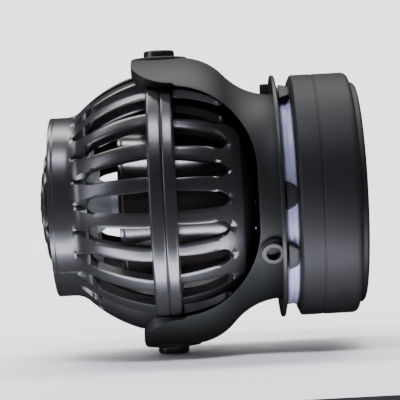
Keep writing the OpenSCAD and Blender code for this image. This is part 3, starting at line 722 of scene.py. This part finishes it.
def bracket_shell():
    """The bracket's wall: rings along u, each with two arms and the sides between them."""
    arm_columns, side_columns = 40, 12
    end_z = OPEN_HALF - OPEN_C

    def arm_reach(u, r):
        """Half the angle that an arm spans at u, on radius r."""
        depth = OPEN_DEPTH - OPEN_C
        if u <= depth:
            z = OPEN_HALF
        else:
            z = OPEN_HALF - OPEN_C + sqrt(max(OPEN_C ** 2 - (u - depth) ** 2, 0.0))
        reach = acos(min(z / r, 1.0))
        if u < ARM_FRONT + ARM_CORNER:
            y = ARM_HALF_W - ARM_CORNER + sqrt(max(ARM_CORNER ** 2 - (u - ARM_FRONT - ARM_CORNER) ** 2, 0.0))
            reach = min(reach, asin(min(y / r, 1.0)))
        return reach

    arm_us = [ARM_FRONT + ARM_CORNER * (1 - cos(radians(90 * k / 11))) for k in range(12)]
    arm_us += [3.6, ARM_FLAT_U]
    arm_us += [ARM_FLAT_U + (OPEN_DEPTH - ARM_FLAT_U) * sin(radians(90 * k / 22)) for k in range(1, 23)]
    neck_us = [OPEN_DEPTH + (OGEE_END_U - OPEN_DEPTH) * k / 5 for k in range(1, 6)]
    outer = [(u, ogee_r(u, 0)) for u in arm_us + neck_us]
    outer += [(BACK_U, NECK_R), (BACK_U, BACK_RING_R), (BACK_U, SPINDLE_HOLE_R)]
    inner = [(u, ogee_r(u, BRACKET_WALL)) for u in arm_us + neck_us if u < BACK_IN_U]
    inner += [(BACK_IN_U, NECK_R - BRACKET_WALL), (BACK_IN_U, BACK_RING_R), (BACK_IN_U, SPINDLE_HOLE_R)]
    rings, full = [], []
    for u, r in outer + inner[::-1]:
        flat = r < NECK_R - BRACKET_WALL - 0.01
        whole = u >= OPEN_DEPTH - 1e-6
        reach = acos(min(end_z / (r if not flat else NECK_R), 1.0)) if whole else arm_reach(u, r)
        row = []
        for start in (0, pi):
            for k in range(arm_columns + 1):
                t = start + reach * (2 * k / arm_columns - 1)
                row.append((u, -r * sin(t), r * cos(t)))
            for k in range(1, side_columns):
                t = start + reach + (pi - 2 * reach) * k / side_columns
                row.append((u, -r * sin(t), r * cos(t)))
        rings.append(row)
        full.append(whole)
    width = len(rings[0])
    side = [j % (arm_columns + side_columns) >= arm_columns for j in range(width)]
    total = len(rings)
    points = [tuple(c * MM for c in p) for row in rings for p in row]
    faces = []
    for i in range(total):
        n = (i + 1) % total
        for j in range(width):
            if side[j] and not (full[i] and full[n]):
                continue
            m = (j + 1) % width
            faces.append((i * width + j, i * width + m, n * width + m, n * width + j))
    count = len(arm_us)

    def across(i):
        return total - 1 - i

    for i in range(count - 1):
        for arm in (0, arm_columns + side_columns):
            for j in (arm, arm + arm_columns):
                a, b = across(i) * width + j, across(i + 1) * width + j
                faces.append((i * width + j, (i + 1) * width + j, b, a))
    i = count - 1
    for j in range(width):
        if side[j]:
            m = (j + 1) % width
            faces.append((i * width + j, i * width + m, across(i) * width + m, across(i) * width + j))
    used = sorted({k for f in faces for k in f})
    index = {old: new for new, old in enumerate(used)}
    return mesh_from("bracket_shell", [points[k] for k in used], [tuple(index[k] for k in f) for f in faces])


def bevelled(mesh, width, segments=3, angle=40.0):
    """The mesh with its sharp edges rounded by a bevel of width in mm."""
    work = bmesh.new()
    work.from_mesh(mesh)
    sharp = [e for e in work.edges if len(e.link_faces) == 2 and e.calc_face_angle(0) > radians(angle)]
    bmesh.ops.bevel(work, geom=sharp, offset=width * MM, segments=segments, affect="EDGES", profile=0.5,
                    clamp_overlap=True)
    work.to_mesh(mesh)
    work.free()
    return mesh


def bracket():
    """The wall with its ears, the gland's boss and the small key on the neck."""
    wall = bored(moved(bevelled(bracket_shell(), 0.35), AT_PIVOT), PIN_CUTS)
    extras = []
    for side in (1, -1):
        low = side * (FLAT_Z + 0.2)
        top = side * EAR_Z
        dip = top - side * 0.22
        seat = top - side * 0.02
        ear = [(2.03, low), (EAR_R, low), (EAR_R, top), (4.6, top), (4.4, dip), (4.0, dip), (3.9, seat),
               (2.03, seat), (2.03, low)]
        outline = rounded(ear, [0, 0.2, 0.5, 0.1, 0.08, 0.08, 0.08, 0.05, 0])
        extras.append(moved(lathe("ear", outline, 96, "Z"), AT_PIVOT))
    boss = [(2.25, 21.6), (3.0, 21.6), (3.0, BOSS_TOP), (2.25, BOSS_TOP), (2.25, 21.6)]
    boss = rounded(boss, [0, 0.1, 0.25, 0.1, 0])
    extras.append(moved(lathe("gland_boss", boss, 64, "Z"), AT_GLAND))
    key = block("neck_key", (1.9, 3.2, 3.3), (BACK_U - 3.6 + 0.95, 0, NECK_R + 0.72), 0.3)
    extras.append(moved(key, AT_PIVOT))
    return joined("bracket_shell", [wall, *extras])


show("bracket_shell", bracket(), ["bracket"])


# ---------------------------------------------------------------- the other pieces of the bracket

def ring_outline(low_r, high_r, low_u, high_u, fillet=0.15):
    """A rectangle of (radius, u) with rounded corners, for a turned ring."""
    middle = (low_r, (low_u + high_u) / 2)
    points = [middle, (low_r, low_u), (high_r, low_u), (high_r, high_u), (low_r, high_u), middle]
    return rounded(points, fillet)[:-1]


def span_u(node):
    """Where a node begins and ends along X, from the pivot."""
    low, high = box_mm(node)
    return low[0] - PIVOT, high[0] - PIVOT


def turned(name, outline, around=128):
    """A piece turned about the pump's axis, placed at the pivot."""
    return moved(lathe(name, outline, around), AT_PIVOT)


flange_low = span_u("bracket_flange")[0]
FLANGE_R = box_mm("bracket_flange")[1][1]
FLANGE_T = 0.9
FLANGE_DISH = 0.5
FLANGE_IN_R = NECK_R + 0.03
FLANGE_BEND_R = 25.1
flange = [(FLANGE_IN_R, BACK_U - FLANGE_T / 2), (FLANGE_IN_R, BACK_U - FLANGE_T),
          (FLANGE_BEND_R, BACK_U - FLANGE_T), (FLANGE_R, flange_low), (FLANGE_R, BACK_U - FLANGE_DISH),
          (FLANGE_BEND_R, BACK_U), (FLANGE_IN_R, BACK_U), (FLANGE_IN_R, BACK_U - FLANGE_T / 2)]
show("bracket_flange_disc", turned("flange", rounded(flange, [0, 0.1, 0.6, 0.3, 0.3, 0.6, 0.1, 0])[:-1]),
     ["bracket_flange"])


def foot(elevation, low_u, high_u):
    """A rubber foot that follows the flange and narrows towards the base."""
    rows, columns = 6, 9
    points, faces = [], []
    for r in (25.15, 26.85):
        for i in range(rows + 1):
            t = i / rows
            half = 3.2 - 1.2 * t - 0.35 * max(0.0, t - 0.8) / 0.2
            for j in range(columns + 1):
                a = radians(elevation) + half * (2 * j / columns - 1) / 26
                bulge = r - (0.3 if r > 26 else -0.1) * max(0.0, t - 0.75) / 0.25
                x = PIVOT + low_u + (high_u - low_u) * t
                points.append((x * MM, -bulge * cos(a) * MM, bulge * sin(a) * MM))
    per = (rows + 1) * (columns + 1)
    for i in range(rows):
        for j in range(columns):
            k = i * (columns + 1) + j
            for base in (0, per):
                faces.append((base + k, base + k + 1, base + k + columns + 2, base + k + columns + 1))
    for i in range(rows):
        for j in (0, columns):
            k = i * (columns + 1) + j
            faces.append((k, k + columns + 1, per + k + columns + 1, per + k))
    for j in range(columns):
        for i in (0, rows):
            k = i * (columns + 1) + j
            faces.append((k, k + 1, per + k + 1, per + k))
    return bevelled(mesh_from("foot", points, faces), 0.22, 2, 50)


feet_span = span_u("bumper_feet")
FOOT_ANGLES = (60, 0, -30)       # on the near side, repeated half a turn round
feet = [foot(a + half, *feet_span) for half in (0, 180) for a in FOOT_ANGLES]
show("rubber_feet", joined("feet", feet), ["bumper_feet"])

CAP_R = (CAP[1][0] - CAP[0][0]) / 2
cap_top = CAP[1][2]
cap = [(0, EAR_Z), (CAP_R, EAR_Z), (CAP_R, cap_top), (2.3, cap_top), (2.1, cap_top - 0.3), (0, cap_top - 0.3)]
for node, half_turn in (("upper_pivot_cap", 0), ("lower_pivot_cap", pi)):
    disc = lathe("cap", rounded(cap, [0, 0.1, 0.6, 0.15, 0.15, 0]), 96, "Z")
    moved(disc, Matrix.Rotation(half_turn, 4, "X"))
    show(node + "_disc", moved(disc, AT_PIVOT), [node])

lead_r, flange_r, gland_top = 1.5, 2.65, 24.95
gland = [(lead_r, 19.65), (flange_r, 19.65), (flange_r, 20.35), (2.18, 20.4), (2.18, BOSS_TOP),
         (flange_r, BOSS_TOP + 0.02), (flange_r, gland_top), (lead_r, gland_top), (lead_r, 19.65)]
gland = rounded(gland, [0, 0.2, 0.2, 0.05, 0.05, 0.2, 0.3, 0.25, 0])[:-1]
show("cable_gland_bush", moved(lathe("gland", gland, 64, "Z"), AT_GLAND), ["cable_gland"])


# ---------------------------------------------------------------- the magnet base

case_low, case_high = span_u("base_case")
BASE_FRONT_U = span_u("damping_ring")[1]
BASE_R = box_mm("base_case")[1][1]
cover_low, cover_high = span_u("base_back_cover")
COVER_R = box_mm("base_back_cover")[1][1]
CAVITY_R = COVER_R - 2
SPINDLE_R = 6.0
SCREW_HOLE_R = 1.53
CAVITY_L = 8.6
seam = BASE_FRONT_U + 5.2          # a shallow groove round the case
case = [(SCREW_HOLE_R, case_low + 2), (SCREW_HOLE_R, case_low), (SPINDLE_R, case_low),
        (SPINDLE_R, BASE_FRONT_U), (BASE_R - 1.5, BASE_FRONT_U), (BASE_R, BASE_FRONT_U + 0.7),
        (BASE_R, seam), (BASE_R - 0.12, seam + 0.15), (BASE_R - 0.12, seam + 0.4), (BASE_R, seam + 0.55),
        (BASE_R, case_high), (COVER_R + 0.03, case_high), (COVER_R + 0.03, cover_low),
        (CAVITY_R, cover_low), (CAVITY_R, cover_low - CAVITY_L), (SCREW_HOLE_R, cover_low - CAVITY_L),
        (SCREW_HOLE_R, case_low + 2)]
case_corners = [0, 0.1, 0.3, 0.2, 0.4, 0.5, 0.05, 0.05, 0.05, 0.05, 1.6, 0.1, 0.05, 0.05, 0.1, 0.1, 0]
show("base_case_shell", turned("case", rounded(case, case_corners, 5)[:-1], 160), ["base_case"])
cover = [(0, cover_low), (COVER_R, cover_low), (COVER_R, cover_high), (0, cover_high)]
show("base_back_disc", turned("cover", rounded(cover, [0, 0.1, 0.2, 0])), ["base_back_cover"])
pad_low, pad_high = span_u("glass_pad")
PAD_R = box_mm("glass_pad")[1][1]
pad = [(0, pad_low), (PAD_R, pad_low), (PAD_R, pad_high - 0.5), (PAD_R - 0.5, pad_high)]
for r in (21.5, 16.2, 9.2):
    pad += [(r, pad_high), (r - 0.1, pad_high - 0.5), (r - 1.1, pad_high - 0.5), (r - 1.2, pad_high)]
pad.append((0, pad_high))
pad_corners = [0, 0.2, 0.2, 0.2] + [0.08] * 12 + [0]
show("glass_pad_disc", turned("pad", rounded(pad, pad_corners)), ["glass_pad"])
damper_low, damper_high = span_u("damping_ring")
DAMPER_R = box_mm("damping_ring")[1][1]
DAMPER_IN_R = 11.0
waist = [(DAMPER_R - 0.35, damper_low), (DAMPER_R, damper_low + 0.35),
         (DAMPER_R - 0.25, (damper_low + damper_high) / 2),
         (DAMPER_R, damper_high - 0.35), (DAMPER_R - 0.35, damper_high)]
damper = [(DAMPER_IN_R, damper_high), (DAMPER_IN_R, damper_low)] + rounded(waist, 0.5, 5)
show("damping_ring_body", turned("damper", damper), ["damping_ring"])


# ---------------------------------------------------------------- motor, propeller and guard

motor_low, motor_high = span_u("motor_housing")
lid_front = span_u("motor_front_cover")[0]
MOTOR_R = box_mm("motor_housing")[1][1]
WELL_R = 8.0
LID_T = 0.8
well_floor = motor_high - 3.1
can = [(WELL_R, motor_low + 5), (WELL_R, motor_low), (MOTOR_R, motor_low), (MOTOR_R, motor_high),
       (0, motor_high), (0, well_floor), (WELL_R, well_floor), (WELL_R, motor_low + 5)]
can = rounded(can, [0, 0.1, 0.25, 0.4, 0, 0, 0.3, 0])[:-1]
show("motor_can", turned("can", can, 160), ["motor_housing"])
lid = [(WELL_R, lid_front + LID_T / 2), (WELL_R, lid_front), (MOTOR_R, lid_front),
       (MOTOR_R, lid_front + LID_T), (WELL_R, lid_front + LID_T), (WELL_R, lid_front + LID_T / 2)]
lid = rounded(lid, [0, 0.15, 0.55, 0.1, 0.1, 0], 6)[:-1]
show("motor_lid", turned("lid", lid, 160), ["motor_front_cover"])

prop_high = span_u("propeller")[1]
nut_low, nut_high = span_u("propeller_nut")
TIP_R = NOZZLE_IN - 0.85
BLADE_ROOT_R = 5.6
BLADE_LOW = nut_low + 0.15
BLADE_HIGH = BLADE_LOW + 7.05
BLADES = 4


def blade(angle):
    """A twisted blade with a rounded section: steep at the hub, flatter and broader at the tip."""
    rows, half_count = 14, 10
    middle = (BLADE_LOW + BLADE_HIGH) / 2
    points, faces = [], []
    for i in range(rows + 1):
        t = i / rows
        r = BLADE_ROOT_R + (TIP_R - BLADE_ROOT_R) * t
        lean = radians(30 + 27 * t)
        chord = min(7.0 / cos(lean), 11.8) * (1 - 0.35 * max(0.0, (t - 0.86) / 0.14) ** 2)
        thick = 1.35 - 0.55 * t
        for k in range(2 * half_count):
            side = 1 if k < half_count else -1
            x = (k if side > 0 else 2 * half_count - k) / half_count
            body = 2.6 * thick * (0.3 * sqrt(x) - 0.13 * x - 0.17 * x ** 2.2)
            camber = 0.22 * chord * x * (1 - x)
            along = (x - 0.5) * chord
            off = camber * 0.35 + side * body * 0.5
            u = middle + along * cos(lean) - off * sin(lean)
            across = along * sin(lean) + off * cos(lean)
            a = angle + across / r
            points.append(((PIVOT + u) * MM, -r * sin(a) * MM, r * cos(a) * MM))
    ring = 2 * half_count
    for i in range(rows):
        for k in range(ring):
            n = (k + 1) % ring
            faces.append((i * ring + k, i * ring + n, (i + 1) * ring + n, (i + 1) * ring + k))
    for i in (0, rows):
        for k in range(half_count):
            a, b = i * ring + k, i * ring + k + 1
            c, d = i * ring + (ring - k - 1) % ring, i * ring + (ring - k) % ring
            faces.append((a, b, c, d))
    return mesh_from("blade", points, faces)


hub = [(1.9, nut_high + 2), (1.9, nut_high), (5.0, nut_high), (6.2, nut_high + 1.4), (6.2, BLADE_HIGH),
       (5.2, BLADE_HIGH + 1.7), (4.18, BLADE_HIGH + 3), (4.18, prop_high), (3.72, prop_high),
       (3.72, nut_high + 2), (1.9, nut_high + 2)]
propeller = [turned("hub", rounded(hub, [0, 0.1, 0.5, 0.9, 0.4, 1.2, 0.8, 0.1, 0.1, 0, 0])[:-1])]
propeller += [blade(radians(20 + 360 / BLADES * k)) for k in range(BLADES)]
show("propeller_moulding", joined("propeller", propeller), ["propeller"], angle=40)
nut = [(1.7, nut_low + 1), (1.7, nut_low), (2.6, nut_low), (5.0, nut_high), (1.7, nut_high),
       (1.7, nut_low + 1)]
nut = rounded(nut, [0, 0.1, 0.9, 0.2, 0.1, 0])[:-1]
show("propeller_nose", turned("nose", nut), ["propeller_nut"])

guard_low, guard_high = span_u("outlet_guard")
GUARD_RINGS = (15.2, 11.9, 8.2)       # outer radii of the inner rings
GUARD_BAR = 1.2
GUARD_HUB_R = 4.6
VANES = 8
GUARD_R = NOZZLE_IN - 0.03
GUARD_DOME = NOZZLE_U - guard_low


def guard_front(r):
    """How far forward the guard reaches at a radius: flat outside, domed inside."""
    if r <= GUARD_HUB_R - 0.2:
        return guard_low
    return NOZZLE_U - GUARD_DOME * max(0.0, 1 - (r / GUARD_RINGS[0]) ** 2) ** 0.8


def guard_vane(angle, from_r, to_r):
    """A vane that follows the dome, with a rounded front edge."""
    rows = 12
    half = GUARD_BAR / 2
    nose = [(-half, 0.25), (-0.45, 0.08), (-0.2, 0.0), (0.2, 0.0), (0.45, 0.08), (half, 0.25)]
    points, faces = [], []
    for i in range(rows + 1):
        r = from_r + (to_r - from_r) * i / rows
        front = guard_front(r)
        row = [(-half, guard_high)] + [(w, front + d) for w, d in nose] + [(half, guard_high)]
        for w, u in row:
            y = w * cos(angle) - r * sin(angle)
            z = w * sin(angle) + r * cos(angle)
            points.append(((PIVOT + u) * MM, y * MM, z * MM))
    n = len(nose) + 2
    for i in range(rows):
        for k in range(n):
            m = (k + 1) % n
            faces.append((i * n + k, i * n + m, (i + 1) * n + m, (i + 1) * n + k))
    faces.append(tuple(range(n)))
    faces.append(tuple(rows * n + k for k in range(n)))
    return mesh_from("vane", points, faces)


guard_hub = [(0, guard_low), (GUARD_HUB_R, guard_low), (GUARD_HUB_R, guard_high), (3.05, guard_high),
             (3.05, guard_low + 0.9), (0, guard_low + 0.9)]
guard = []
for r in (GUARD_R, *GUARD_RINGS):
    outline = ring_outline(r - GUARD_BAR, r, guard_front(r - GUARD_BAR / 2), guard_high, 0.3)
    guard.append(turned("guard_ring", outline))
guard.append(turned("guard_hub", rounded(guard_hub, [0, 1.2, 0.1, 0.1, 0.05, 0]), 96))
for shift, from_r in ((0, 4.2), (0.5, 11.4)):
    for k in range(VANES):
        guard.append(guard_vane(2 * pi * (k + shift) / VANES, from_r, GUARD_R - GUARD_BAR / 2))
show("outlet_guard_grille", joined("guard", guard), ["outlet_guard"])

# ---------------------------------------------------------------- finishes of the pieces shown as they are

for name, node in frame["nodes"].items():
    node.data.materials.clear()
    node.data.materials.append(FINISHES[SLOT_OF[name]])

# ---------------------------------------------------------------- floor, lights and camera

low, high = cad_box


FLOOR_FRONT, FLOOR_BACK = -0.1, 0.25          # metres from the object's middle
SWEEP_R = 0.25
SWEEP_TOP = 1.3
SWEEP_ENDS = (-1.3, 1.2)
floor_height = low[2]


def studio_paint():
    """Pale matt paint, faintly clouded."""
    made = Finish("pale_sweep", Specular_IOR_Level=0.25)
    cloud = made.noise(9.0, 3.0, 0.5)
    made.feed("Base Color", made.mix(cloud, grey(0.86), grey(0.86 * 0.97)))
    made.feed("Roughness", cloud * 0.1 + 0.7)
    return made.material


def studio_sweep():
    """A floor that turns up into a backdrop behind the object. It isn't mirrored in the plastic."""
    floor_z = floor_height - 0.0002
    path = [(FLOOR_FRONT, floor_z), (FLOOR_BACK, floor_z)]
    for k in range(1, 13):
        a = radians(90 * k / 12)
        path.append((FLOOR_BACK + SWEEP_R * sin(a), floor_z + SWEEP_R - SWEEP_R * cos(a)))
    path.append((FLOOR_BACK + SWEEP_R, floor_z + SWEEP_TOP))
    points = [(x, y, z) for y, z in path for x in SWEEP_ENDS]
    faces = [(2 * i, 2 * i + 1, 2 * i + 3, 2 * i + 2) for i in range(len(path) - 1)]
    mesh = bpy.data.meshes.new("studio_sweep")
    mesh.from_pydata(points, [], faces)
    mesh.polygons.foreach_set("use_smooth", [True] * len(mesh.polygons))
    mesh.materials.append(studio_paint())
    sweep = add_object("studio_sweep", mesh)
    sweep.visible_glossy = False


def soft_light(name, place, target, size, power, colour=(1, 1, 1)):
    """A rectangular light, with its place and what it aims at in metres from the object's middle."""
    data = bpy.data.lights.new(name, "AREA")
    data.shape = "RECTANGLE"
    data.size, data.size_y = size
    data.energy = power
    data.color = colour
    light = bpy.data.objects.new(name, data)
    scene.collection.objects.link(light)
    light.location = centre + Vector(place)
    aim = Vector(target) - Vector(place)
    light.rotation_euler = aim.to_track_quat("-Z", "Y").to_euler()
    return light


studio_sweep()
centre = Vector(((low[0] + high[0]) / 2, 0, 0))
world = bpy.data.worlds.new("studio_air")
scene.world = world
world.use_nodes = True
air = world.node_tree.nodes["Background"].inputs
air["Color"].default_value = (0.8, 0.85, 1.0, 1)
air["Strength"].default_value = 0.06
COOL = (0.86, 0.86, 1.0)
soft_light("upper_box", (-0.01, -0.17, 0.34), (0, 0, 0), (0.22, 0.07), 1.6, COOL)
under = (-0.01, -0.037, floor_height + 0.001)
lower = soft_light("lower_box", under, (-0.01, -0.017, floor_height + 1.001), (0.11, 0.014), 0.11, COOL)
lower.visible_camera = False
soft_light("left_box", (-0.4, -0.12, 0.1), (0, 0, 0), (0.1, 0.3), 0.8, COOL)
soft_light("wide_top", (0, 0.35, 0.75), (0, 0.3, -0.03), (0.9, 0.4), 4.0)
soft_light("backdrop_wash", (0, 0.15, 0.5), (0, 0.5, 0.05), (1.0, 0.2), 8.0)

camera = bpy.data.objects.new("camera", bpy.data.cameras.new("camera"))
scene.collection.objects.link(camera)
scene.camera = camera
camera.data.sensor_width = 36.0
camera.data.lens = 152.0
camera.data.clip_start = 0.01
camera.location = centre + Vector((0, -0.385, 0))
camera.rotation_euler = Euler((radians(90), radians(3.0), 0))     # level, rolled 3 degrees
